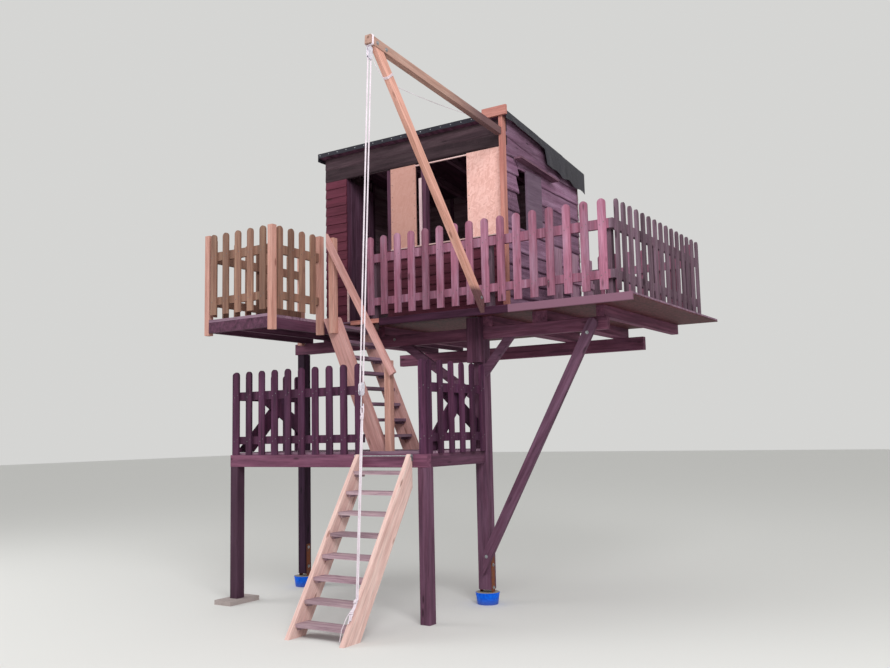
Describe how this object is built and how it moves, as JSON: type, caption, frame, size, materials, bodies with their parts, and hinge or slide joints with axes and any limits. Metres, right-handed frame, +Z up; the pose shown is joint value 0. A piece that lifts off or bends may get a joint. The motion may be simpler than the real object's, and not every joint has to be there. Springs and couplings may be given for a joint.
{
  "type": "tree house",
  "caption": "Timber tree house on posts: low deck with a lift-up stair, ladder stair to an upper deck with picket railings, a small hut and a hoisting arm with tackle.",
  "frame": {"origin": "centre of the underside of the tall right post's footing, on the ground", "axes": "+X to the right along the front, +Y to the back, +Z up"},
  "size_m": [4.389, 4.403, 5.055],
  "materials": {
    "stained_timber": "dark red-brown stain, matt",
    "pale_timber": "raw sawn softwood, matt",
    "weathered_board": "weathered softwood boards, matt",
    "board_sheet": "oriented strand board, matt",
    "lapped_board": "dark stained lapped boards, matt",
    "grey_cladding": "weathered grey-brown boards, matt",
    "roof_felt": "mineral roofing felt, matt",
    "rusty_steel": "rusted flat steel",
    "galvanised_steel": "dull zinc",
    "blue_plastic": "scuffed moulded plastic",
    "concrete": "cast concrete, rough",
    "white_rope": "laid white rope"
  },
  "bodies": {
    "frame": {"footing_buckets": "blue_plastic", "footing_concrete": "concrete", "post_anchors": "rusty_steel", "tall_post_right": "stained_timber", "tall_post_left": "stained_timber", "lower_front_posts": "stained_timber", "front_left_paver": "concrete", "lower_front_beam": "stained_timber", "lower_rim_beams": "stained_timber", "lower_joists": "stained_timber", "lower_floor": "weathered_board", "lower_front_railing": "stained_timber", "lower_right_railing": "stained_timber", "lower_left_railing": "stained_timber", "stair_hinge": "galvanised_steel", "upper_stair_stringers": "pale_timber", "upper_stair_treads": "weathered_board", "upper_stair_posts": "pale_timber", "upper_stair_handrail": "pale_timber", "upper_front_beams": "stained_timber", "upper_rear_beam": "stained_timber", "upper_joists": "stained_timber", "landing_frame": "stained_timber", "upper_floor": "weathered_board", "landing_floor": "pale_timber", "deck_edge_board": "pale_timber", "deck_rim_board": "stained_timber", "post_head_block": "stained_timber", "knee_braces": "stained_timber", "long_brace": "stained_timber", "upper_front_railing": "stained_timber", "upper_right_railing": "stained_timber", "upper_back_railing": "stained_timber", "railing_posts": "stained_timber", "landing_posts": "pale_timber", "landing_front_railing": "pale_timber", "landing_right_railing": "pale_timber", "landing_left_railing": "pale_timber", "hut_front_cladding": "lapped_board", "hut_front_header": "grey_cladding", "hut_front_posts": "stained_timber", "hut_front_sheets": "board_sheet", "hut_right_wall": "grey_cladding", "hut_left_wall": "grey_cladding", "hut_back_wall": "grey_cladding", "hut_roof": "roof_felt", "hut_rafters": "pale_timber", "hut_door_leaf": "lapped_board", "hut_side_shutter": "grey_cladding", "hut_side_canopy": "grey_cladding", "corner_post": "pale_timber", "roof_cap_board": "pale_timber", "gallows_arm": "pale_timber", "gallows_brace": "pale_timber", "pulley_blocks": "galvanised_steel", "tackle_ropes": "white_rope", "pendant_rope": "white_rope", "grey_low_rail": "grey_cladding"},
    "stair": {"stair_stringers": "pale_timber", "stair_treads": "weathered_board"}
  },
  "joints": [
    {"name": "stair_lift", "type": "hinge", "parent": "frame", "child": "stair", "pos_m": [-0.415, -1.166, 1.505], "axis": [-1, 0, 0], "range_deg": [0, 75], "deforming": ["pendant_rope"]}
  ]
}
